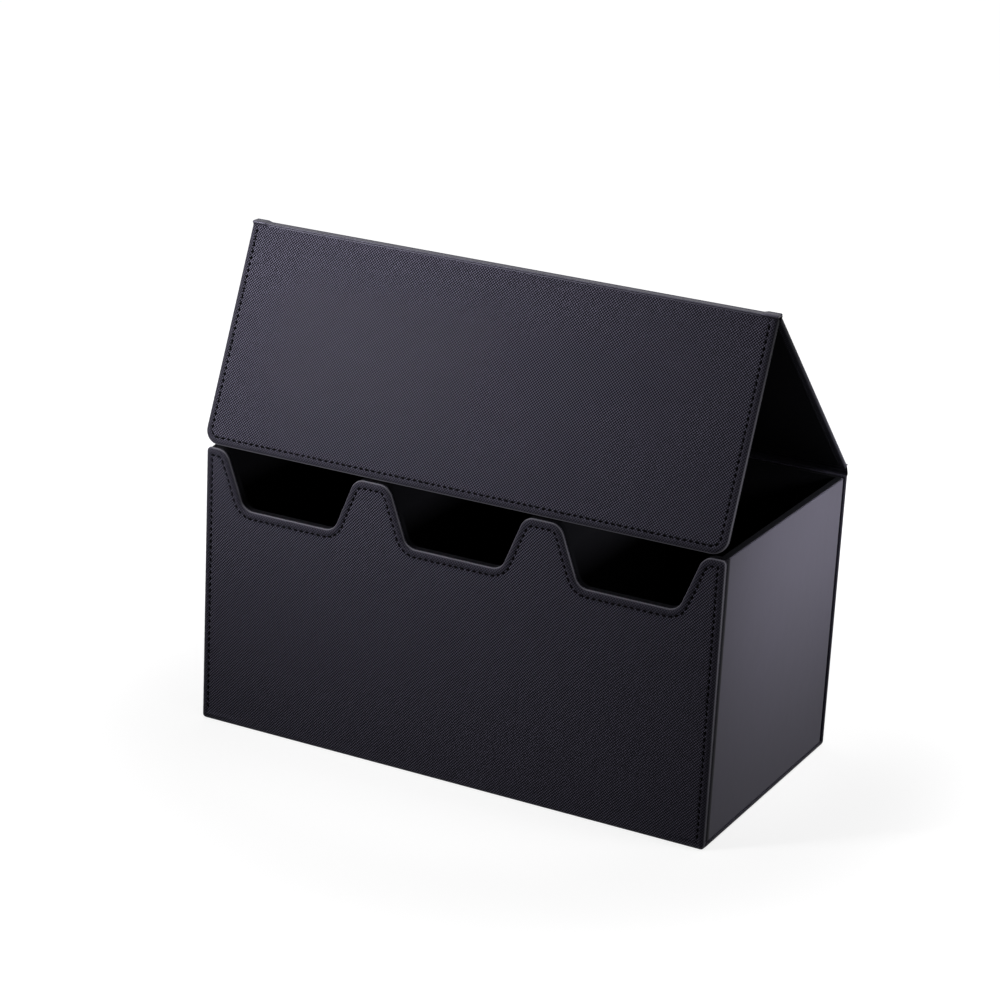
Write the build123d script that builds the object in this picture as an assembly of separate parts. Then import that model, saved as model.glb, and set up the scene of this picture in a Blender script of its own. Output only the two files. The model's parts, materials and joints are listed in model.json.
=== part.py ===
from build123d import *
import os
from math import atan, cos, radians, sin, tan

# Graded card storage box: a lined card tray glued into a book-style wrap of covered boards.
# Millimetres. X runs along the front, Y from front to back, Z up, origin under the middle of the base.
# It stands as a tent: lid raised, flap folded down so that its lower edge is at the front wall's top.

# Overall size of the box without lid and flap
box_width = 290.0
box_depth = 155.0
box_height = 150.0

# Sheets that the pieces are cut from
skin = 0.9
wrap_board = 2.0
tray_board = 2.5
divider_board = 2.0
lining = 0.5

# Wrap panels: front, base, back, lid and flap
wrap_overhang = 0.4
panel_corner_radius = 2.0
edge_roll = 1.4
flap_length = 115.0
lid_overhang = 0.5
flap_corner_radius = 8.0
lining_margin = 3.0

# Finger notches in the front wall
notch_count = 3
corner_post = 11.5
middle_post = 19.5
notch_depth = 30.0
notch_run = 11.5
notch_crown_radius = 7.5
notch_root_radius = 7.5

# Tray sides, with upright edges that are rounded by a share of their board
wall_corner_share = 0.95
side_skin_roll = 0.6

# Dividers between the card rows
divider_names = ("left", "right")
divider_drop = 6.0

# Closure magnets, in pairs that meet when the flap is down
magnet_diameter = 12.0
magnet_thickness = 1.2
magnet_spread = 145.0
magnet_inset = 14.0

# Folds of the skin, with angles in degrees
rear_strip_width = 5.6
rear_strip_tilt = 21.0
ridge_strip_width = 4.0
fold_gap = 0.9
hem_length = 7.0
hem_build = 0.3
lid_raise = 44.0
lid_clearance = 0.4
flap_clearance = 0.5

# Layers of the wrap and of the tray, from outside in
panel = skin + wrap_board
front_face = -box_depth / 2
back_face = box_depth / 2
tray_front = front_face + panel
tray_back = back_face - panel
inner_front = tray_front + tray_board
inner_back = tray_back - tray_board
clear_front = inner_front + lining
clear_back = inner_back - lining
side_face = box_width / 2 - wrap_overhang
tray_side = side_face - skin
inner_side = tray_side - tray_board
clear_side = inner_side - lining
tray_base = panel
floor_top = tray_base + tray_board
clear_floor = floor_top + lining
wall_top = box_height - lining
wall_corner_radius = tray_board * wall_corner_share

# Finger notches share the front's width that the posts leave
notch_mouth = (box_width - 2 * corner_post - (notch_count - 1) * middle_post) / notch_count
notch_floor = notch_mouth - 2 * notch_run
notch_pitch = notch_mouth + middle_post

# Card rows
divider_width = divider_board + 2 * lining
divider_top = box_height - divider_drop
row_width = (2 * clear_side - len(divider_names) * divider_width) / (len(divider_names) + 1)

# Fold axes in the Y-Z plane: first with the lid closed, then as drawn.
# The ridge strip is level as drawn, so it slopes by half the lid's raise when closed.
half_raise = lid_raise / 2
closed_lid_z = box_height + lid_clearance + lining + wrap_board + skin / 2
closed_flap_y = front_face - flap_clearance - lining - wrap_board - skin / 2
rear_rise = rear_strip_width * sin(radians(rear_strip_tilt))
rear_reach = rear_strip_width * cos(radians(rear_strip_tilt))
ridge_drop = ridge_strip_width * sin(radians(half_raise))
ridge_reach = ridge_strip_width * cos(radians(half_raise))
rear_fold = Vector(0, back_face - skin / 2, closed_lid_z - rear_rise)
closed_lid_fold = rear_fold + Vector(0, -rear_reach, rear_rise)
closed_ridge_fold = Vector(0, closed_flap_y + ridge_reach, closed_lid_z)
closed_flap_fold = closed_ridge_fold - Vector(0, ridge_reach, ridge_drop)
opening_axis = Axis((0, 0, 0), (-1, 0, 0))
lid_fold = rear_fold + (closed_lid_fold - rear_fold).rotate(opening_axis, lid_raise)
ridge_fold = rear_fold + (closed_ridge_fold - rear_fold).rotate(opening_axis, lid_raise)
flap_fold = ridge_fold - Vector(0, ridge_strip_width, 0)
lid_length = (ridge_fold - lid_fold).length

# Planes of the wrap panels: local Y runs along the panel away from its fold, local Z is its outer side
lid_normal = Vector(0, sin(radians(lid_raise)), cos(radians(lid_raise)))
flap_normal = Vector(0, -cos(radians(half_raise)), sin(radians(half_raise)))
front_plane = Plane((0, front_face, 0), x_dir=(1, 0, 0), z_dir=(0, -1, 0))
back_plane = Plane((0, back_face, 0), x_dir=(-1, 0, 0), z_dir=(0, 1, 0))
base_plane = Plane((0, 0, 0), x_dir=(1, 0, 0), z_dir=(0, 0, -1))
lid_plane = Plane(lid_fold + lid_normal * (skin / 2), x_dir=(-1, 0, 0), z_dir=lid_normal)
flap_plane = Plane(flap_fold + flap_normal * (skin / 2), x_dir=(-1, 0, 0), z_dir=flap_normal)


def rounded_face(points, radii):
    """Flat face inside a closed outline whose corners have the given radii."""
    return make_face(FilletPolyline(*points, radius=radii, close=True).edges())


def panel_face(low, high, inset, low_radius=0, high_radius=0, overhang=0):
    """Outline of a rectangular panel between two heights, drawn in by an inset."""
    side = box_width / 2 + overhang - inset
    points = [(-side, low + inset), (-side, high - inset), (side, high - inset), (side, low + inset)]
    low_inner = max(low_radius - inset, 0)
    high_inner = max(high_radius - inset, 0)
    return rounded_face(points, [low_inner, high_inner, high_inner, low_inner])


def notched_face(side, low, inset, corner_radius=0):
    """Outline of a front wall whose top and notches are drawn in by an inset."""
    slope = atan(notch_run / notch_depth)
    widen = inset * (1 / cos(slope) - tan(slope))
    mouth = notch_mouth / 2 + widen
    floor = notch_floor / 2 + widen
    top = box_height - inset
    root = top - notch_depth
    crown_radius = notch_crown_radius - inset
    root_radius = notch_root_radius + inset
    points = [(-side, low), (-side, top)]
    radii = [corner_radius, corner_radius]
    for index in range(notch_count):
        middle = (index - (notch_count - 1) / 2) * notch_pitch
        points += [(middle - mouth, top), (middle - floor, root)]
        points += [(middle + floor, root), (middle + mouth, top)]
        radii += [crown_radius, root_radius, root_radius, crown_radius]
    points += [(side, top), (side, low)]
    radii += [corner_radius, corner_radius]
    return rounded_face(points, radii)


def layer(face, outer, inner):
    """Sheet of a panel between two depths below the panel's outer side."""
    return extrude(Pos(0, 0, -inner) * face, inner - outer)


def covered_panel(plane, skin_face, board_face):
    """Board of a wrap panel and the skin that rolls round its edges."""
    board = layer(board_face, skin, panel)
    block = layer(skin_face, 0, panel)
    outer_edges = block.faces().sort_by(Axis.Z)[-1].edges()
    cover = fillet(outer_edges, edge_roll) - board
    return plane * cover, plane * board


def panel_lining(plane, low, high, **outline):
    """Lining glued inside the lid or flap, short of its edges."""
    face = panel_face(low, high, lining_margin, **outline)
    return plane * layer(face, panel, panel + lining)


def span(x_range, y_range, z_range):
    """Box between two places on each axis."""
    low = Vector(x_range[0], y_range[0], z_range[0])
    high = Vector(x_range[1], y_range[1], z_range[1])
    size = high - low
    return Pos(*low) * Box(size.X, size.Y, size.Z, align=(Align.MIN, Align.MIN, Align.MIN))


def magnet_pair(height, outer):
    """Two discs side by side, from a depth below a panel's outer side."""
    discs = [
        Pos(place, height) * layer(Circle(magnet_diameter / 2), outer, outer + magnet_thickness)
        for place in (-magnet_spread / 2, magnet_spread / 2)
    ]
    return discs[0] + discs[1]


def front_panel():
    """Notched front of the wrap, with magnets let into the outside of its board."""
    skin_face = notched_face(box_width / 2, 0, 0, panel_corner_radius)
    board_radius = max(panel_corner_radius - skin, 0)
    board_face = notched_face(box_width / 2 - skin, skin, skin, board_radius)
    cover, board = covered_panel(front_plane, skin_face, board_face)
    height = closed_flap_fold.Z - flap_length + magnet_inset
    magnets = front_plane * magnet_pair(height, skin)
    return {"front_cover": cover, "front_board": board - magnets, "front_magnets": magnets}


def base_panel():
    """Base of the wrap, between front and back panels."""
    faces = [panel_face(tray_front, tray_back, inset) for inset in (0, skin)]
    cover, board = covered_panel(base_plane, *faces)
    return {"base_cover": cover, "base_board": board}


def back_panel():
    """Back of the wrap, up to the rear fold."""
    top = rear_fold.Z - fold_gap
    faces = [panel_face(0, top, inset, low_radius=panel_corner_radius) for inset in (0, skin)]
    cover, board = covered_panel(back_plane, *faces)
    return {"back_cover": cover, "back_board": board}


def lid_panel():
    """Lid between the rear strip and the ridge strip, a little wider than the box."""
    ends = (fold_gap, lid_length - fold_gap)
    faces = [panel_face(*ends, inset, overhang=lid_overhang) for inset in (0, skin)]
    cover, board = covered_panel(lid_plane, *faces)
    inside = panel_lining(lid_plane, *ends, overhang=lid_overhang)
    return {"lid_cover": cover, "lid_board": board, "lid_lining": inside}


def flap_panel():
    """Front flap with round lower corners, and magnets let into the inside of its board."""
    ends = (fold_gap, flap_length)
    outline = {"high_radius": flap_corner_radius, "overhang": lid_overhang}
    faces = [panel_face(*ends, inset, **outline) for inset in (0, skin)]
    cover, board = covered_panel(flap_plane, *faces)
    magnets = flap_plane * magnet_pair(flap_length - magnet_inset, panel - magnet_thickness)
    inside = panel_lining(flap_plane, *ends, **outline)
    return {
        "flap_cover": cover,
        "flap_board": board - magnets,
        "flap_lining": inside,
        "flap_magnets": magnets,
    }


def fold_strip(start, end):
    """Strip of skin between two folds, round about both axes, with a doubled hem at each end."""
    across = end - start
    plane = Plane((start + end) * 0.5, x_dir=across, z_dir=(1, 0, 0))
    strip = extrude(plane * SlotCenterToCenter(across.length, skin), box_width / 2, both=True)
    hem = extrude(plane * SlotCenterToCenter(across.length, skin + hem_build), hem_length)
    return strip + Pos(-box_width / 2, 0, 0) * hem + Pos(box_width / 2 - hem_length, 0, 0) * hem


def tray_front_and_back():
    """Front and back walls of the tray, with linings that go over their top edges."""
    front_board_face = notched_face(inner_side, tray_base, lining)
    front_wall = front_plane * layer(front_board_face, panel, panel + tray_board)
    front_sheet_face = notched_face(clear_side, floor_top, 0)
    front_sheet = front_plane * layer(front_sheet_face, panel, panel + tray_board + lining)
    back_wall = span((-inner_side, inner_side), (inner_back, tray_back), (tray_base, wall_top))
    back_sheet = span((-clear_side, clear_side), (clear_back, tray_back), (floor_top, box_height))
    return {
        "tray_front_wall": front_wall,
        "front_lining": front_sheet - front_wall,
        "tray_back_wall": back_wall,
        "back_lining": back_sheet - back_wall,
    }


def upright_slab(x_range, y_range, z_range, radius):
    """Box whose outer upright edges are rounded."""
    block = span(x_range, y_range, z_range)
    return fillet(block.edges().filter_by(Axis.Z).group_by(Axis.X)[-1], radius)


def right_side():
    """Right wall of the tray, the skin that goes round its outside and both ends, and its lining."""
    height = (tray_base, wall_top)
    ends = (tray_front + skin, tray_back - skin)
    depth = (tray_front, tray_back)
    wall = upright_slab((inner_side, tray_side), ends, height, wall_corner_radius)
    wrapped = upright_slab((inner_side, side_face), depth, height, wall_corner_radius + skin)
    rims = wrapped.faces().filter_by(Axis.Z).edges().filter_by(lambda edge: edge.center().X > inner_side)
    cover = fillet(rims, side_skin_roll) - wall
    sheet = span((clear_side, inner_side), (inner_front, inner_back), (floor_top, wall_top))
    rim = upright_slab((clear_side, tray_side), ends, (wall_top, box_height), wall_corner_radius)
    return {"tray_{}_wall": wall, "{}_side_cover": cover, "{}_lining": sheet + rim}


def tray_sides():
    """Right side and its mirror image."""
    pieces = {}
    for name, piece in right_side().items():
        pieces[name.format("right")] = piece
        pieces[name.format("left")] = mirror(piece, about=Plane.YZ)
    return pieces


def tray_bottom():
    """Floor board of the tray and its lining."""
    board = span((-inner_side, inner_side), (inner_front, inner_back), (tray_base, floor_top))
    sheet = span((-clear_side, clear_side), (clear_front, clear_back), (floor_top, clear_floor))
    return {"tray_floor": board, "floor_lining": sheet}


def dividers():
    """Boards between the card rows, each in a sleeve of lining."""
    pieces = {}
    depth = (clear_front, clear_back)
    for index, name in enumerate(divider_names):
        left = -clear_side + (index + 1) * row_width + index * divider_width
        sleeve = span((left, left + divider_width), depth, (clear_floor, divider_top))
        board_left = left + lining
        board = span((board_left, board_left + divider_board), depth, (clear_floor, divider_top - lining))
        pieces[f"{name}_divider_board"] = board
        pieces[f"{name}_divider_lining"] = sleeve - board
    return pieces


def fold_strips():
    """Rear strip from back panel to lid, and ridge strip from lid to flap."""
    return {
        "rear_hinge_strip": fold_strip(rear_fold, lid_fold),
        "ridge_hinge_strip": fold_strip(ridge_fold, flap_fold),
    }


sections = (
    front_panel,
    base_panel,
    back_panel,
    lid_panel,
    flap_panel,
    fold_strips,
    tray_front_and_back,
    tray_sides,
    tray_bottom,
    dividers,
)

os.makedirs("parts", exist_ok=True)
for section in sections:
    for node, piece in section().items():
        export_step(piece, f"parts/{node}.step")

for label, fold in (("rear", rear_fold), ("lid", lid_fold), ("ridge", ridge_fold), ("flap", flap_fold)):
    print(f"{label} fold axis at y {fold.Y:.3f}, z {fold.Z:.3f}")
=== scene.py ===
"""Looks of the card storage box: leatherette panels, stitching, folded leather, linings and the studio.

Metres. X runs along the front, Y from front to back, Z up. Each wrap panel has its own frame: X across it,
Y away from its fold, Z outward with 0 at its outer face.
"""

import json
from math import atan2, cos, hypot, pi, radians, sin, sqrt, tan

import bmesh
import bpy
from mathutils import Matrix, Vector


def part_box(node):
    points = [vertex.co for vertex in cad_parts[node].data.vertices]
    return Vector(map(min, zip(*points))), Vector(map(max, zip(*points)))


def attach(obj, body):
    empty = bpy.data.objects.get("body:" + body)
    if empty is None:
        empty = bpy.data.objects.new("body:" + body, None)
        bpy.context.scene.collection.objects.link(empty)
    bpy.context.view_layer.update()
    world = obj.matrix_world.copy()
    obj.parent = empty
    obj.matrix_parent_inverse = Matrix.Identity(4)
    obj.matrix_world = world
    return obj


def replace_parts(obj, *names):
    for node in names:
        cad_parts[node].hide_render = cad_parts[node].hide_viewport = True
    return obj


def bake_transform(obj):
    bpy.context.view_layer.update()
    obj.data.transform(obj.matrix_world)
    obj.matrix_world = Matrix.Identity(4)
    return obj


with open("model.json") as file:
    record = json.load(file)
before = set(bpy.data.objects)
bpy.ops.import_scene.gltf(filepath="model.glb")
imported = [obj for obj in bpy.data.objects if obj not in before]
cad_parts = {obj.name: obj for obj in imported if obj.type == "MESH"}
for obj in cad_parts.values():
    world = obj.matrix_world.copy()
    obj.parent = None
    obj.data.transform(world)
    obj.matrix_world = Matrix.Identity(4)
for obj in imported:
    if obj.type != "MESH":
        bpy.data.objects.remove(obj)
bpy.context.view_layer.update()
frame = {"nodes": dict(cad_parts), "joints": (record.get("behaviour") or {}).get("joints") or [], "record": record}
fold_at = {joint["name"]: Vector(joint["pos_m"]) for joint in frame["joints"]}

# Edges of the leatherette panels. A crease keeps a share of the roll, and the turned-in edge builds up the
# back a little.
roll_width = 0.0024
roll_depth = 0.0016
back_roll = 0.0008
crease_share = 0.12
turn_in_build = 0.00004
panel_corner_radius = 0.002
flap_corner_radius = 0.008
quarter_steps = 8
plain_edge_steps = 12
fewest_edge_steps = 2
fewest_corner_steps = 3
corner_fineness = 1.2
merge_distance = 1e-6
sliver_length = 1e-7

# Sewn rim: a low welt outside the stitches and the groove that they draw into the leatherette
welt_rise = 0.0002
stitch_inset = 0.0037
stitch_sink = 0.0003
groove_half_width = 0.0008
face_inset = 0.0050
flat_inset = 0.0054
welt_foot = welt_rise / 3
pucker_share = 0.35
rim_press = 0.65

# The groove's section: place in half widths from the stitches, and share of the sink there
groove_shares = ((-0.5, 0.7), (0.0, 1.0), (0.5, 0.7), (1.0, 0.15))

# Painted highlight along the crest of the edges' roll: the power that keeps it narrow, and the peak that is then
# scaled to 1
highlight_crest_power = 16
highlight_crest_peak = 0.290

# Thread
stitch_pitch = 0.0034
stitch_length = 0.0025
thread_radius = 0.00065
stitch_margin = 0.0015
stitch_steps = 4
thread_sides = 6
thread_lift_share = 0.2
thread_dive_share = 1.2
thread_dive_power = 4

# Places along a stitch in half lengths from its middle, and the share of the thread's thickness there
thread_shares = ((-1.0, 0.45), (-0.72, 0.85), (0.0, 1.0), (0.72, 0.85), (1.0, 0.45))

# Finger notches of the front, as in the CAD model
notch_count = 3
corner_post = 0.0115
middle_post = 0.0195
notch_depth = 0.030
notch_run = 0.0115
notch_radius = 0.0075

# Leatherette over the folds
leather_thickness = 0.0007
valley_reach = 0.0006
valley_sink = 0.0012
tuck_reach = 0.0018
tuck_sink = 0.0014
shoulder_reach = 0.00025
shoulder_sink = 0.00012
hem_rise = 0.0006
hem_press = 0.8
hem_width = 0.0065
hem_taper = 0.003
hem_round = 0.0005
hem_lip = hem_round / 3
mitre_share = 1 / 3
bend_steps = 8
hem_taper_steps = 5
fold_steps = 24

# Embossed weave and grain
weave_across = 0.00108
weave_along = 0.00113
weave_depth = 0.0004
weave_wander = 0.45
grain_depth = 0.00003
rib_shares = (0.44, 0.56)
rim_height_share = 0.47

# Looks of the materials. A pattern is its cells to the metre and its detail. Colours are linear, and a depth
# is the height of the bumps in metres.

# Embossed leatherette
sheen_tint = (0.80, 0.77, 1.0, 1.0)
panel_gloss = 0.04
fold_gloss = 0.45
# Weave colour, with painted shade in the grooves: dark up to a share of the weave's height, lighter towards the
# ribs
groove_shade_colour = (0.0019, 0.0018, 0.0024)
weave_light = (0.094, 0.0885, 0.126)
groove_shade_share = 0.4
# Painted highlight, added along the crest of the rolled edges
painted_highlight_colour = (0.130, 0.127, 0.147)
wander_pattern = (160.0, 2.0)
cloud_pattern = (22.0, 3.0)
grain_pattern = (1900.0, 3.0)
weave_roughness = (0.60, 0.42)
cloud_roughness = (-0.05, 0.05)

# Smooth leatherette, with painted shade on the front ends of the sides, in the groove behind the front panel
side_gloss = 0.04
side_dark = (0.053, 0.050, 0.066)
side_light = (0.063, 0.059, 0.079)
side_cloud = (40.0, 4.0)
side_wave = (110.0, 3.0)
side_wave_depth = 0.0001
pebble_cells = 1500.0
pebble_depth = 0.00002
side_roughness = (0.48, 0.54)
painted_shade_reach = 0.0046
painted_shade_fade = 0.0010
painted_shade_share = 0.1

# Flocked lining
flock_gloss = 0.02
flock_dark = (0.0024, 0.0024, 0.0031)
flock_light = (0.0085, 0.0085, 0.0106)
flock_fibre = (2600.0, 2.0)
flock_cloud = (25.0, 3.0)
flock_fibre_shares = (0.5, 1.0)
flock_cloud_shares = (0.6, 1.0)
flock_roughness = (0.9, 1.0)
flock_depth = 0.0002

# Grey board
board_gloss = 0.2
board_dark = (0.16, 0.15, 0.13)
board_light = (0.42, 0.40, 0.36)
board_fibre = (900.0, 6.0)
board_fleck = (260.0, 2.0)
board_fibre_shares = (0.5, 1.0)
board_fleck_shares = (0.7, 1.0)
board_roughness = (0.8, 0.95)
board_depth = 0.0001

# Nickel plating
nickel_dark = (0.52, 0.51, 0.50)
nickel_light = (0.64, 0.63, 0.62)
nickel_marks = (1800.0, 3.0)
nickel_haze = (120.0, 2.0)
nickel_roughness = (0.22, 0.4)
nickel_depth = 0.00003

# Waxed thread
thread_gloss = 0.01
thread_dark = (0.0005, 0.0005, 0.0007)
thread_light = (0.0025, 0.0025, 0.0032)
thread_twist = (2400.0, 1.0)
thread_roughness = (0.6, 0.8)
twist_depth = 0.00008

# Camera, found by matching the box's corners to the photo
camera_azimuth = radians(27.043)
camera_elevation = radians(19.122)
camera_roll = radians(2.928)
camera_distance = 1.55096
camera_target = Vector((-0.01483, 0, 0.12598))
camera_lens = 108.106

# Studio. The floor's own glow rises from the lift near the box to the background's white where the fade ends.
floor_radius = 4.0
floor_fade = (0.17, 0.33)
floor_white = 0.35
floor_lift = 0.77
ambient = 0.04
background = 1.0

# Lamps: place, target, sides, the angle of the beam and the power in watts
lamps = {
    "overhead": {
        "place": (0, 0.05, 1.2), "target": (0, 0, 0.12),
        "width": 0.9, "height": 0.9, "spread": pi, "power": 7.0,
    },
    "front_left": {
        "place": (-0.42, -0.46, 0.46), "target": (-0.125, -0.04, 0.275),
        "width": 0.3, "height": 0.3, "spread": radians(46), "power": 1.18,
    },
    "side_strip": {
        "place": (0.34, 0.06, 0.22), "target": (0.145, 0.06, 0.13),
        "width": 0.24, "height": 0.05, "spread": radians(66), "power": 0.21,
    },
}

right = Vector((1, 0, 0))
up = Vector((0, 0, 1))

# Edges of a rectangular panel in the order of its outline
near_edge, right_edge, far_edge, left_edge = range(4)


def smooth_step(value):
    """0 to 1 with level ends, for a value that may lie outside."""
    value = min(max(value, 0), 1)
    return value * value * (3 - 2 * value)


def panel_place(origin, across, outward):
    """Matrix of a panel's frame."""
    along = outward.cross(across)
    return Matrix.Translation(origin) @ Matrix((across, along, outward)).transposed().to_4x4()


def reach(node, place):
    """Lowest and highest corners of a CAD node in a panel's frame."""
    inverse = place.inverted()
    points = [inverse @ vertex.co for vertex in frame["nodes"][node].data.vertices]
    return Vector(map(min, zip(*points))), Vector(map(max, zip(*points)))


# Sheets and panel frames, from the CAD model
front_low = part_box("front_cover")[0]
back_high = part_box("back_cover")[1]
base_low, base_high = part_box("base_cover")
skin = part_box("front_board")[0].y - front_low.y
panel_depth = base_high.z - base_low.z
lid_along = (fold_at["flap_follow"] - fold_at["lid_open"]).normalized()
lid_outward = lid_along.cross(right)
lid_raise = atan2(lid_along.z, -lid_along.y)

# The flap leans half as far as the lid is raised, as in the CAD model
flap_lean = lid_raise / 2
flap_outward = Vector((0, -cos(flap_lean), sin(flap_lean)))
places = {
    "front": panel_place(Vector((0, front_low.y, 0)), right, Vector((0, -1, 0))),
    "base": panel_place(Vector((0, 0, 0)), right, -up),
    "back": panel_place(Vector((0, back_high.y, 0)), -right, Vector((0, 1, 0))),
    "lid": panel_place(fold_at["lid_open"] + lid_outward * (skin / 2), -right, lid_outward),
    "flap": panel_place(fold_at["flap_swing"] + flap_outward * (skin / 2), -right, flap_outward),
}


def new_piece(name, mesh_data, place, material):
    """Smooth object in its frame, with its material."""
    for polygon in mesh_data.polygons:
        polygon.use_smooth = True
    piece = bpy.data.objects.new(name, mesh_data)
    bpy.context.scene.collection.objects.link(piece)
    piece.matrix_world = place
    piece.data.materials.append(material)
    return piece


class Shader:
    """Material with a principled surface that procedural patterns feed."""

    def __init__(self, name, settings):
        self.material = bpy.data.materials.new(name)
        self.material.use_nodes = True
        self.tree = self.material.node_tree
        self.surface = self.tree.nodes["Principled BSDF"]
        for socket, value in settings.items():
            self.surface.inputs[socket].default_value = value

    def feed(self, socket, value):
        """Gives a socket a value or another node's output."""
        if isinstance(value, bpy.types.NodeSocket):
            self.tree.links.new(value, socket)
        else:
            socket.default_value = value

    def add(self, kind, inputs, **options):
        """First output of a new node."""
        node = self.tree.nodes.new(kind)
        for option, value in options.items():
            setattr(node, option, value)
        for socket, value in inputs.items():
            self.feed(node.inputs[socket], value)
        return node.outputs[0]

    def math(self, operation, *values):
        """Result of a calculation on values or outputs."""
        return self.add("ShaderNodeMath", dict(enumerate(values)), operation=operation)

    def noise(self, vector, scale, detail):
        """Cloudy pattern from 0 to 1, with so many cells to the metre."""
        return self.add("ShaderNodeTexNoise", {"Vector": vector, "Scale": scale, "Detail": detail})

    def spread(self, value, low, high):
        """A pattern from 0 to 1 spread over a range."""
        return self.add("ShaderNodeMapRange", {"Value": value, "To Min": low, "To Max": high})

    def ramp(self, value, dark, light, start=0.0):
        """Colour between two for a value from 0 to 1, dark up to a start."""
        node = self.tree.nodes.new("ShaderNodeValToRGB")
        node.color_ramp.elements[0].position = start
        node.color_ramp.elements[0].color = (*dark, 1)
        node.color_ramp.elements[1].color = (*light, 1)
        self.feed(node.inputs["Fac"], value)
        return node.outputs["Color"]

    def bump(self, height, distance, normal=None):
        """Normal bent by a height from 0 to 1 over a distance."""
        inputs = {"Height": height, "Distance": distance}
        if normal is not None:
            inputs["Normal"] = normal
        return self.add("ShaderNodeBump", inputs)

    def finish(self, colour, roughness, normal):
        """Feeds the surface and gives back the material."""
        self.feed(self.surface.inputs["Base Color"], colour)
        self.feed(self.surface.inputs["Roughness"], roughness)
        self.feed(self.surface.inputs["Normal"], normal)
        return self.material

    def attribute(self, name):
        """A number that the mesh carries at each point."""
        node = self.tree.nodes.new("ShaderNodeAttribute")
        node.attribute_name = name
        return node.outputs["Fac"]

    def own_place(self):
        """Coordinates fixed to the object."""
        node = self.tree.nodes.new("ShaderNodeTexCoord")
        return node.outputs["Object"]


def embossed_leatherette(name, gloss):
    """Black leatherette, fine diagonal weave with painted shade in the grooves, pressed flat on sewn rims, painted
    highlight on edges.
    """
    shader = Shader(name, {"Specular IOR Level": gloss, "Specular Tint": sheen_tint})
    weave = shader.add("ShaderNodeUVMap", {}, uv_map="weave")
    parts = shader.tree.nodes.new("ShaderNodeSeparateXYZ")
    shader.feed(parts.inputs[0], weave)

    # The ribs run on the diagonals, so across and along they repeat at root two times their spacing
    across = shader.math("MULTIPLY", parts.outputs["X"], 2 * pi / (weave_across * sqrt(2)))
    along = shader.math("MULTIPLY", parts.outputs["Y"], 2 * pi / (weave_along * sqrt(2)))
    wander = shader.spread(shader.noise(weave, *wander_pattern), -weave_wander, weave_wander)
    ribs = []
    for operation, share in zip(("ADD", "SUBTRACT"), rib_shares):
        phase = shader.math("ADD", shader.math(operation, across, along), wander)
        wave = shader.add("ShaderNodeMapRange", {"Value": shader.math("SINE", phase), "From Min": -1.0})
        ribs.append(shader.math("MULTIPLY", wave, share))
    height = shader.math("ADD", *ribs)
    height = shader.spread(shader.attribute("rim"), height, rim_height_share)
    cloud = shader.noise(weave, *cloud_pattern)
    # Painted shade in the weave's grooves: the colour follows the weave's height
    colour = shader.ramp(height, groove_shade_colour, weave_light, groove_shade_share)
    # Painted highlight: a light colour added along the crest of the rolled edges
    highlighted_colour = shader.add("ShaderNodeVectorMath", {0: painted_highlight_colour, 1: shader.attribute("highlight_crest"), 2: colour},
                      operation="MULTIPLY_ADD")
    normal = shader.bump(shader.noise(weave, *grain_pattern), grain_depth)
    normal = shader.bump(height, weave_depth, normal)
    polish = (shader.spread(height, *weave_roughness), shader.spread(cloud, *cloud_roughness))
    return shader.finish(highlighted_colour, shader.math("ADD", *polish), normal)


def smooth_leatherette():
    """Smooth black leatherette of the sides, with a fine pebble, faint clouds and painted shade at the front ends.
    """
    shader = Shader("smooth_leatherette", {"Specular IOR Level": side_gloss, "Specular Tint": sheen_tint})
    place = shader.own_place()
    cloud = shader.noise(place, *side_cloud)
    pebble = shader.add("ShaderNodeTexVoronoi", {"Vector": place, "Scale": pebble_cells})
    colour = shader.ramp(cloud, side_dark, side_light)
    parts = shader.tree.nodes.new("ShaderNodeSeparateXYZ")
    shader.feed(parts.inputs[0], place)
    # Painted shade: the colour falls to a tenth over the first few millimetres of the sides behind the front panel
    front_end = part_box("right_side_cover")[0].y
    painted_shade_end = front_end + painted_shade_reach
    painted_shade_factor = shader.add("ShaderNodeMapRange", {
        "Value": parts.outputs["Y"],
        "From Min": painted_shade_end - painted_shade_fade,
        "From Max": painted_shade_end,
        "To Min": painted_shade_share,
    }, interpolation_type="SMOOTHSTEP")
    colour = shader.add("ShaderNodeVectorMath", {0: colour, 1: painted_shade_factor}, operation="MULTIPLY")
    normal = shader.bump(pebble, pebble_depth)
    normal = shader.bump(shader.noise(place, *side_wave), side_wave_depth, normal)
    return shader.finish(colour, shader.spread(cloud, *side_roughness), normal)


def flocked_lining():
    """Matte black flock."""
    shader = Shader("flocked_lining", {"Specular IOR Level": flock_gloss})
    place = shader.own_place()
    fibre = shader.noise(place, *flock_fibre)
    cloud = shader.noise(place, *flock_cloud)
    shades = (shader.spread(fibre, *flock_fibre_shares), shader.spread(cloud, *flock_cloud_shares))
    colour = shader.ramp(shader.math("MULTIPLY", *shades), flock_dark, flock_light)
    return shader.finish(colour, shader.spread(cloud, *flock_roughness), shader.bump(fibre, flock_depth))


def grey_board():
    """Solid grey board with pressed fibres and flecks."""
    shader = Shader("grey_board", {"Specular IOR Level": board_gloss})
    place = shader.own_place()
    fibre = shader.noise(place, *board_fibre)
    fleck = shader.noise(place, *board_fleck)
    shades = (shader.spread(fibre, *board_fibre_shares), shader.spread(fleck, *board_fleck_shares))
    colour = shader.ramp(shader.math("MULTIPLY", *shades), board_dark, board_light)
    return shader.finish(colour, shader.spread(fibre, *board_roughness), shader.bump(fibre, board_depth))


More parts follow.
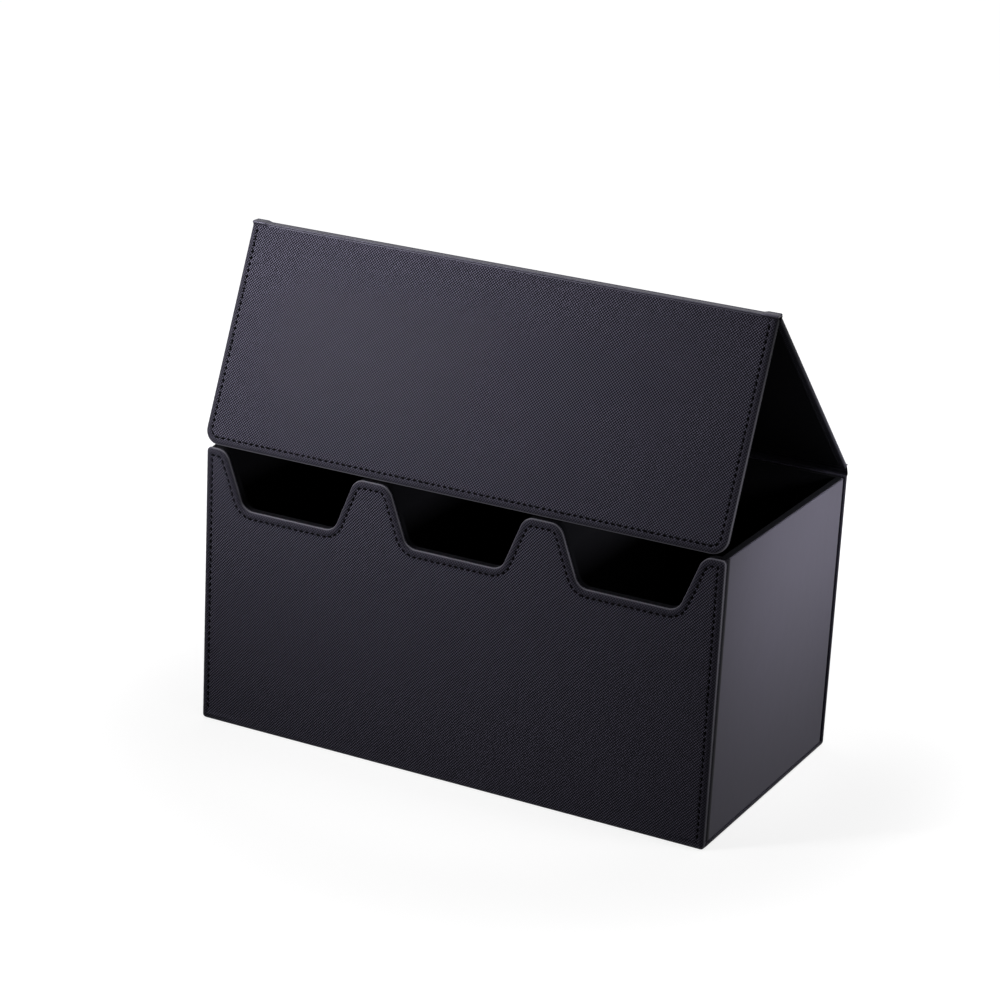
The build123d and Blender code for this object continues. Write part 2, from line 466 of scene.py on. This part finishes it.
def nickel():
    """Plated disc with fine turning marks."""
    shader = Shader("nickel", {"Metallic": 1.0})
    place = shader.own_place()
    marks = shader.noise(place, *nickel_marks)
    haze = shader.noise(place, *nickel_haze)
    colour = shader.ramp(haze, nickel_dark, nickel_light)
    return shader.finish(colour, shader.spread(marks, *nickel_roughness), shader.bump(marks, nickel_depth))


def black_thread():
    """Waxed black thread with its twist."""
    shader = Shader("black_thread", {"Specular IOR Level": thread_gloss})
    place = shader.own_place()
    twist = shader.noise(place, *thread_twist)
    colour = shader.ramp(twist, thread_dark, thread_light)
    return shader.finish(colour, shader.spread(twist, *thread_roughness), shader.bump(twist, twist_depth))


def rounded_outline(corners, radii, sewn_edges, creased_edges=()):
    """Closed outline, counter-clockwise, with the steps that every ring drawn from it has.

    Edge i runs from corner i to corner i + 1. Sewn edges are stepped finely enough for the puckers between
    stitches. Creased edges carry on over a fold, so their roll is tight.
    """
    corners = [Vector(corner) for corner in corners]
    sewn = [index in sewn_edges for index in range(len(corners))]
    creased = [index in creased_edges for index in range(len(corners))]
    fine = stitch_pitch / stitch_steps
    edge_steps = []
    corner_steps = []
    for index, corner in enumerate(corners):
        length = (corners[(index + 1) % len(corners)] - corner).length
        edge_steps.append(max(int(length / fine), fewest_edge_steps) if sewn[index] else plain_edge_steps)
        corner_steps.append(max(int(radii[index] / fine * corner_fineness), fewest_corner_steps))
    return {"corners": corners, "radii": radii, "sewn": sewn, "creased": creased,
            "edge_steps": edge_steps, "corner_steps": corner_steps}


def corner_arc(outline, index, inset):
    """Points round one corner of an outline that is drawn in by an inset."""
    corners = outline["corners"]
    corner = corners[index]
    before = (corner - corners[index - 1]).normalized()
    after = (corners[(index + 1) % len(corners)] - corner).normalized()
    inward = Vector((-before.y, before.x))
    inward_after = Vector((-after.y, after.x))
    first, second = (inset * (crease_share if outline["creased"][edge] else 1) for edge in (index - 1, index))
    slant = inward.dot(inward_after)
    shift = inward * (first - second * slant) + inward_after * (second - first * slant)
    corner = corner + shift / (1 - slant * slant)
    turn = atan2(before.x * after.y - before.y * after.x, before.dot(after))
    side = 1 if turn > 0 else -1
    radius = max(outline["radii"][index] - side * max(first, second), 0)
    start = corner - before * (radius * tan(abs(turn) / 2))
    centre = start + inward * (side * radius)
    arm = start - centre
    points = []
    steps = outline["corner_steps"][index]
    for step in range(steps + 1):
        angle = turn * step / steps
        swung = Vector((arm.x * cos(angle) - arm.y * sin(angle), arm.x * sin(angle) + arm.y * cos(angle)))
        points.append(centre + swung)
    return points


def outline_ring(outline, inset):
    """Points of an outline drawn in by an inset."""
    arcs = [corner_arc(outline, index, inset) for index in range(len(outline["corners"]))]
    points = []
    for index, arc in enumerate(arcs):
        points += arc
        following = arcs[(index + 1) % len(arcs)][0]
        steps = outline["edge_steps"][index]
        points += [arc[-1].lerp(following, step / steps) for step in range(1, steps)]
    return points


def edge_shares(outline, kind):
    """For each point of a ring, 1 where the edge is of a kind and 0 where it isn't."""
    shares = []
    for index, marked in enumerate(outline[kind]):
        before = float(outline[kind][index - 1])
        after = float(marked)
        steps = outline["corner_steps"][index]
        shares += [before + (after - before) * step / steps for step in range(steps + 1)]
        shares += [after] * (outline["edge_steps"][index] - 1)
    return shares


def run_lengths(points):
    """Distance of each point from the first, along the points."""
    lengths = [0.0]
    for start, end in zip(points, points[1:]):
        lengths.append(lengths[-1] + (end - start).length)
    return lengths


def panel_profile(depth):
    """Rings of a panel from its back to its face.

    Each has its inset, its height, its drop in the edge's roll, the height of the sewn welt and groove there,
    and how much of the painted highlight along the roll's crest it takes.
    """
    rings = [(flat_inset, -depth, 0, 0, 0), (2 * back_roll, -depth, 0, 0, 0)]
    for step in range(quarter_steps + 1):
        angle = pi / 2 * step / quarter_steps
        rings.append((back_roll * (1 - sin(angle)), -depth + back_roll * (1 - cos(angle)), 0, 0, 0))
    for step in range(quarter_steps + 1):
        angle = pi / 2 * step / quarter_steps
        # Painted highlight band, narrow on the roll; the weave is also pressed flat there
        highlight_crest = cos(angle) ** highlight_crest_power * sin(2 * angle) / highlight_crest_peak
        drop = -roll_depth * (1 - sin(angle))
        rings.append((roll_width * (1 - cos(angle)), 0, drop, welt_rise * sin(angle), highlight_crest))
    rings.append((stitch_inset - groove_half_width, 0, 0, welt_foot, 0))
    for place, share in groove_shares:
        rings.append((stitch_inset + place * groove_half_width, 0, 0, -stitch_sink * share, 0))
    rings.append((face_inset, 0, 0, 0, 0))
    rings.append((flat_inset, 0, 0, 0, 0))
    return rings


def unfolded_insets(profile):
    """Where each ring of a profile would lie if the leatherette were unfolded flat round the face."""
    insets = [profile[-1][0]]
    for inner, outer in zip(reversed(profile), list(reversed(profile))[1:]):
        step = hypot(inner[0] - outer[0], inner[1] + inner[2] - outer[1] - outer[2])
        insets.append(insets[-1] - step)
    return list(reversed(insets))


def covered_panel(name, outline, depth, material):
    """Leatherette over one board: rolled edges, sewn welt, stitch groove with puckers, and closed back."""
    stitch_run = run_lengths(outline_ring(outline, stitch_inset))
    sewn = edge_shares(outline, "sewn")
    creased = edge_shares(outline, "creased")
    shape = bmesh.new()
    rim_layer = shape.verts.layers.float.new("rim")
    highlight_crest_layer = shape.verts.layers.float.new("highlight_crest")
    flat_layer = shape.verts.layers.float_vector.new("flat")
    rings = []
    profile = panel_profile(depth)
    for (inset, height, drop, sewn_height, highlight_crest), unfolded in zip(profile, unfolded_insets(profile)):
        ring = []
        points = zip(outline_ring(outline, inset), outline_ring(outline, unfolded), sewn, creased, stitch_run)
        for point, flat_point, share, crease, run in points:
            pucker = 1 + pucker_share * cos(2 * pi * run / stitch_pitch)
            roll = 1 - crease * (1 - crease_share)
            vertex = shape.verts.new((point.x, point.y, height + drop * roll + sewn_height * share * pucker))
            press = rim_press * smooth_step((stitch_inset - inset) / (stitch_inset - roll_width))
            vertex[rim_layer] = share * (press + (1 - press) * highlight_crest)
            # The painted highlight's share at each point
            vertex[highlight_crest_layer] = share * highlight_crest
            vertex[flat_layer] = flat_point.to_3d()
            ring.append(vertex)
        rings.append(ring)
    count = len(rings[0])
    for lower, upper in zip(rings, rings[1:]):
        for index in range(count):
            following = (index + 1) % count
            shape.faces.new((lower[index], lower[following], upper[following], upper[index]))
    shape.faces.new(rings[-1])
    shape.faces.new(list(reversed(rings[0])))
    bmesh.ops.remove_doubles(shape, verts=shape.verts, dist=merge_distance)
    bmesh.ops.dissolve_degenerate(shape, edges=shape.edges, dist=sliver_length)
    weave = shape.loops.layers.uv.new("weave")
    for face in shape.faces:
        for loop in face.loops:
            loop[weave].uv = loop.vert[flat_layer].xy
    shape.verts.layers.float_vector.remove(flat_layer)
    data = bpy.data.meshes.new(f"{name}_skin")
    shape.to_mesh(data)
    shape.free()
    piece = new_piece(f"{name}_skin", data, places[name], material)
    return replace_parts(piece, f"{name}_cover")


def sewn_runs(outline):
    """Paths of the stitches: one for each unbroken run of sewn edges."""
    count = len(outline["corners"])
    sewn = outline["sewn"]
    ring = outline_ring(outline, stitch_inset)
    starts = []
    place = 0
    for index in range(count):
        starts.append(place)
        place += outline["corner_steps"][index] + outline["edge_steps"][index]
    runs = []
    for index in range(count):
        if not sewn[index] or sewn[index - 1]:
            continue
        last = index
        while sewn[(last + 1) % count] and (last + 1) % count != index:
            last += 1
        first_point = starts[index] + outline["corner_steps"][index]
        end_corner = (last + 1) % count
        end_point = starts[end_corner] if end_corner > index else len(ring)
        runs.append(ring[first_point:end_point + 1])
    return runs


def points_along(path, places_on_path):
    """Point and direction at each distance along a path."""
    lengths = run_lengths(path)
    found = []
    index = 0
    for place in places_on_path:
        while index < len(path) - 2 and lengths[index + 1] < place:
            index += 1
        step = path[index + 1] - path[index]
        share = (place - lengths[index]) / max(step.length, sliver_length)
        found.append((path[index] + step * share, step.normalized()))
    return found


def add_stitch(vertices, faces, middle, direction):
    """One stitch: a short thread that arches out of the groove and dives in again at both ends."""
    across = Vector((-direction.y, direction.x, 0))
    first = len(vertices)
    for station, thickness in thread_shares:
        centre = middle.to_3d() + direction.to_3d() * (station * stitch_length / 2)
        dive = thread_dive_share * station ** thread_dive_power
        centre.z = -stitch_sink + thread_radius * (thread_lift_share - dive)
        for side in range(thread_sides):
            angle = 2 * pi * side / thread_sides
            spoke = across * cos(angle) + up * sin(angle)
            vertices.append(centre + spoke * (thread_radius * thickness))
    for station in range(len(thread_shares) - 1):
        for side in range(thread_sides):
            a = first + station * thread_sides + side
            b = first + station * thread_sides + (side + 1) % thread_sides
            faces.append((a, b, b + thread_sides, a + thread_sides))
    last = first + (len(thread_shares) - 1) * thread_sides
    faces.append(tuple(range(first + thread_sides - 1, first - 1, -1)))
    faces.append(tuple(range(last, last + thread_sides)))


def stitching(name, outline, material):
    """Rows of stitches round a panel."""
    vertices = []
    faces = []
    for path in sewn_runs(outline):
        length = run_lengths(path)[-1] - 2 * stitch_margin
        count = round(length / stitch_pitch)
        pitch = length / count
        spots = [stitch_margin + (index + 0.5) * pitch for index in range(count)]
        for middle, direction in points_along(path, spots):
            add_stitch(vertices, faces, middle, direction)
    data = bpy.data.meshes.new(f"{name}_stitching")
    data.from_pydata(vertices, [], faces)
    return new_piece(f"{name}_stitching", data, places[name], material)


def front_outline():
    """Notched front, counter-clockwise from its lower left corner."""
    low, high = reach("front_cover", places["front"])
    mouth = (high.x - low.x - 2 * corner_post - (notch_count - 1) * middle_post) / notch_count
    root = high.y - notch_depth
    corners = [(low.x, low.y), (high.x, low.y), (high.x, high.y)]
    radii = [panel_corner_radius] * 3
    for index in range(notch_count):
        start = high.x - corner_post - index * (mouth + middle_post)
        end = start - mouth
        corners += [(start, high.y), (start - notch_run, root), (end + notch_run, root), (end, high.y)]
        radii += [notch_radius] * 4
    corners.append((low.x, high.y))
    radii.append(panel_corner_radius)
    return rounded_outline(corners, radii, range(1, len(corners)))


def plain_outline(name, radii, sewn_edges, creased_edges=()):
    """Rectangular panel with the given corner radii."""
    low, high = reach(f"{name}_cover", places[name])
    corners = [(low.x, low.y), (high.x, low.y), (high.x, high.y), (low.x, high.y)]
    return rounded_outline(corners, radii, sewn_edges, creased_edges)


def fold_section(fold, first_along, first_outward, second_along, second_outward, second_reach, rise):
    """Closed section of leather bent round a fold: from the first leg over the outside, and back inside."""
    radius = skin / 2 + rise
    inner = skin / 2 - leather_thickness
    turn = atan2(first_outward.cross(second_outward).x, first_outward.dot(second_outward))
    outside = [fold + first_along * tuck_reach + first_outward * (skin / 2 - tuck_sink)]
    outside.append(fold + first_along * valley_reach + first_outward * (radius - valley_sink))
    outside.append(fold + first_along * shoulder_reach + first_outward * (radius - shoulder_sink))
    for step in range(bend_steps + 1):
        spin = Matrix.Rotation(turn * step / bend_steps, 3, "X")
        outside.append(fold + spin @ first_outward * radius)
    outside.append(fold + second_along * second_reach + second_outward * radius)
    mitre = (first_outward + second_outward) * (inner / (1 + first_outward.dot(second_outward)))
    inside = [fold + second_along * second_reach + second_outward * inner]
    inside.append(fold + mitre + second_along * (second_reach * mitre_share))
    inside.append(fold + mitre)
    inside.append(fold + mitre + first_along * (valley_reach * mitre_share))
    inside.append(fold + first_along * tuck_reach + first_outward * (inner - tuck_sink))
    return outside + inside


def hem_stations(half_width, rise):
    """Places along a fold and the leather's height there: doubled hems with rounded ends."""
    inner = half_width - hem_width
    stations = [(half_width, rise - hem_round), (half_width - hem_lip, rise - hem_lip)]
    stations += [(half_width - hem_round, rise), (inner, rise)]
    for step in range(1, hem_taper_steps + 1):
        share = step / hem_taper_steps
        stations.append((inner - hem_taper * share, rise * (1 - smooth_step(share))))
    left = [(-place, height) for place, height in stations]
    reach_x = inner - hem_taper
    middle = [(-reach_x + 2 * reach_x * step / fold_steps, 0.0) for step in range(1, fold_steps)]
    return left + middle + list(reversed(stations))


def folded_leather(node, name, bodies, fold, first, second, second_reach, half_width, rise, material):
    """Leather bent round one fold between two panels, with a hem at each end."""
    sections = []
    stations = hem_stations(half_width, rise)
    for place, height in stations:
        section = fold_section(fold, *first, *second, second_reach, height)
        sections.append([point + right * place for point in section])
    count = len(sections[0])
    shape = bmesh.new()
    rim_layer = shape.verts.layers.float.new("rim")
    rows = [[shape.verts.new(point) for point in section] for section in sections]
    for row, (place, _) in zip(rows, stations):
        for vertex in row:
            vertex[rim_layer] = hem_press if abs(place) > half_width - hem_width else 1.0
    weave = shape.loops.layers.uv.new("weave")
    girth = run_lengths(sections[0])
    for (lower, upper), (start, end) in zip(zip(rows, rows[1:]), zip(stations, stations[1:])):
        for index in range(count):
            following = (index + 1) % count
            face = shape.faces.new((lower[index], lower[following], upper[following], upper[index]))
            far = girth[index + 1] if index + 1 < count else girth[index]
            spots = ((start[0], girth[index]), (start[0], far), (end[0], far), (end[0], girth[index]))
            for loop, spot in zip(face.loops, spots):
                loop[weave].uv = spot
    shape.faces.new(list(reversed(rows[0])))
    shape.faces.new(rows[-1])
    bmesh.ops.recalc_face_normals(shape, faces=shape.faces)
    data = bpy.data.meshes.new(name)
    shape.to_mesh(data)
    shape.free()
    piece = new_piece(name, data, Matrix.Identity(4), material)
    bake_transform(piece)
    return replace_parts(piece, node)


def fold_covers(dull, glossy):
    """Leather over the two folds of the rear strip and the two of the ridge, where it is stretched glossy."""
    rear, lid = fold_at["lid_close"], fold_at["lid_open"]
    ridge, flap = fold_at["flap_follow"], fold_at["flap_swing"]
    rear_half = (lid - rear) / 2
    ridge_half = (flap - ridge) / 2
    rear_outward = rear_half.normalized().cross(right)
    ridge_outward = ridge_half.normalized().cross(right)
    rear_leg = (rear_half.normalized(), rear_outward)
    ridge_leg = (ridge_half.normalized(), ridge_outward)
    back_leg = (-up, Vector((0, 1, 0)))
    lid_leg = (lid_along, lid_outward)
    flap_leg = (flap_outward.cross(-right), flap_outward)
    lid_back = (-lid_along, lid_outward)
    rear_back = (-rear_leg[0], rear_outward)
    ridge_back = (-ridge_leg[0], ridge_outward)
    rear_size = (rear_half.length, back_high.x, 0)
    ridge_size = (ridge_half.length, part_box("flap_cover")[1].x, hem_rise)
    rear_folds = (
        ("rear_fold_low", ("box", "rear_strip"), rear, back_leg, rear_leg),
        ("rear_fold_high", ("lid", "rear_strip"), lid, lid_leg, rear_back),
    )
    ridge_folds = (
        ("ridge_fold_back", ("lid", "ridge_strip"), ridge, lid_back, ridge_leg),
        ("ridge_fold_front", ("flap", "ridge_strip"), flap, flap_leg, ridge_back),
    )
    for rear_fold in rear_folds:
        folded_leather("rear_hinge_strip", *rear_fold, *rear_size, dull)
    for ridge_fold in ridge_folds:
        folded_leather("ridge_hinge_strip", *ridge_fold, *ridge_size, glossy)


def wrap(leatherette, thread):
    """Covered panels with their stitching, on their bodies."""
    straight = [0.0] * 4
    low_round = [panel_corner_radius] * 2 + [0.0] * 2
    high_round = [0.0] * 2 + [flap_corner_radius] * 2
    sides = (right_edge, left_edge)
    depth = panel_depth + turn_in_build
    panels = (
        ("front", front_outline(), "box"),
        ("base", plain_outline("base", straight, ()), "box"),
        ("back", plain_outline("back", low_round, sides, (far_edge,)), "box"),
        ("lid", plain_outline("lid", straight, sides, (near_edge, far_edge)), "lid"),
        ("flap", plain_outline("flap", high_round, (*sides, far_edge), (near_edge,)), "flap"),
    )
    for name, outline, body in panels:
        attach(covered_panel(name, outline, depth, leatherette), body)
        if any(outline["sewn"]):
            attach(stitching(name, outline, thread), body)


def dress_nodes(materials):
    """Procedural materials on the CAD nodes, by their slots in the record."""
    for entry in frame["record"]["subparts"]:
        data = frame["nodes"][entry["node"]].data
        data.materials.clear()
        data.materials.append(materials[entry["material_slot"]])


def light_path_share(tree):
    """1 for camera, mirror and glass rays, 0 for the light that surfaces pass on."""
    path = tree.nodes.new("ShaderNodeLightPath")
    total = path.outputs["Is Camera Ray"]
    for name in ("Is Glossy Ray", "Is Transmission Ray"):
        join = tree.nodes.new("ShaderNodeMath")
        join.operation = "MAXIMUM"
        tree.links.new(total, join.inputs[0])
        tree.links.new(path.outputs[name], join.inputs[1])
        total = join.outputs[0]
    return total


def white_world():
    """White to look at, and softer as a light."""
    world = bpy.data.worlds.new("studio")
    bpy.context.scene.world = world
    world.use_nodes = True
    tree = world.node_tree
    spread = tree.nodes.new("ShaderNodeMapRange")
    spread.inputs["To Min"].default_value = ambient
    spread.inputs["To Max"].default_value = background
    tree.links.new(light_path_share(tree), spread.inputs["Value"])
    sky = tree.nodes["Background"]
    sky.inputs["Color"].default_value = (1, 1, 1, 1)
    tree.links.new(spread.outputs[0], sky.inputs["Strength"])


def pale_floor():
    """White floor that keeps the box's shadow and fades into the white surroundings."""
    data = bpy.data.meshes.new("floor")
    corners = [(-floor_radius, -floor_radius, 0), (floor_radius, -floor_radius, 0),
               (floor_radius, floor_radius, 0), (-floor_radius, floor_radius, 0)]
    data.from_pydata(corners, [], [(0, 1, 2, 3)])
    floor = bpy.data.objects.new("floor", data)
    bpy.context.scene.collection.objects.link(floor)
    material = bpy.data.materials.new("floor")
    material.use_nodes = True
    tree = material.node_tree
    tree.nodes.clear()
    place = tree.nodes.new("ShaderNodeTexCoord")
    distance = tree.nodes.new("ShaderNodeVectorMath")
    distance.operation = "LENGTH"
    tree.links.new(place.outputs["Object"], distance.inputs[0])
    fade = tree.nodes.new("ShaderNodeMapRange")
    fade.interpolation_type = "SMOOTHSTEP"
    fade.inputs["From Min"].default_value = floor_fade[0]
    fade.inputs["From Max"].default_value = floor_fade[1]
    fade.inputs["To Min"].default_value = floor_lift
    fade.inputs["To Max"].default_value = background
    tree.links.new(distance.outputs["Value"], fade.inputs["Value"])
    seen = tree.nodes.new("ShaderNodeMath")
    seen.operation = "MULTIPLY"
    tree.links.new(fade.outputs[0], seen.inputs[0])
    tree.links.new(light_path_share(tree), seen.inputs[1])
    glow = tree.nodes.new("ShaderNodeEmission")
    tree.links.new(seen.outputs[0], glow.inputs["Strength"])
    paint = tree.nodes.new("ShaderNodeBsdfDiffuse")
    paint.inputs["Color"].default_value = (floor_white, floor_white, floor_white, 1)
    both = tree.nodes.new("ShaderNodeAddShader")
    tree.links.new(glow.outputs[0], both.inputs[0])
    tree.links.new(paint.outputs[0], both.inputs[1])
    output = tree.nodes.new("ShaderNodeOutputMaterial")
    tree.links.new(both.outputs[0], output.inputs["Surface"])
    data.materials.append(material)


def aim(thing, place, target):
    """Puts a lamp or camera at a place, looking at a target."""
    thing.location = place
    thing.rotation_euler = (target - place).to_track_quat("-Z", "Y").to_euler()


def soft_box(name, place, target, width, height, spread, power):
    """Soft light that the camera doesn't see, with a grid that keeps its beam within an angle."""
    data = bpy.data.lights.new(name, "AREA")
    data.shape = "RECTANGLE"
    data.size = width
    data.size_y = height
    data.spread = spread
    data.energy = power
    lamp = bpy.data.objects.new(name, data)
    bpy.context.scene.collection.objects.link(lamp)
    lamp.visible_camera = False
    aim(lamp, Vector(place), Vector(target))


def studio_lights():
    """Overhead light, a key light from the front left and a strip along the right side."""
    for name, lamp in lamps.items():
        soft_box(name, **lamp)


def photo_camera():
    """Camera at the photo's place."""
    data = bpy.data.cameras.new("camera")
    data.lens = camera_lens
    camera = bpy.data.objects.new("camera", data)
    bpy.context.scene.collection.objects.link(camera)
    backward = Vector((
        sin(camera_azimuth) * cos(camera_elevation),
        -cos(camera_azimuth) * cos(camera_elevation),
        sin(camera_elevation),
    ))
    level_right = up.cross(backward).normalized()
    level_up = backward.cross(level_right)
    camera_right = level_right * cos(camera_roll) + level_up * sin(camera_roll)
    camera_up = level_up * cos(camera_roll) - level_right * sin(camera_roll)
    turn = Matrix((camera_right, camera_up, backward)).transposed().to_4x4()
    camera.matrix_world = Matrix.Translation(camera_target + backward * camera_distance) @ turn
    bpy.context.scene.camera = camera


bpy.context.scene.view_settings.view_transform = "Standard"
materials = {
    "leatherette": embossed_leatherette("embossed_leatherette", panel_gloss),
    "side_leatherette": smooth_leatherette(),
    "board": grey_board(),
    "lining": flocked_lining(),
    "magnet": nickel(),
}
dress_nodes(materials)
wrap(materials["leatherette"], black_thread())
fold_covers(materials["leatherette"], embossed_leatherette("stretched_leatherette", fold_gloss))
white_world()
pale_floor()
studio_lights()
photo_camera()
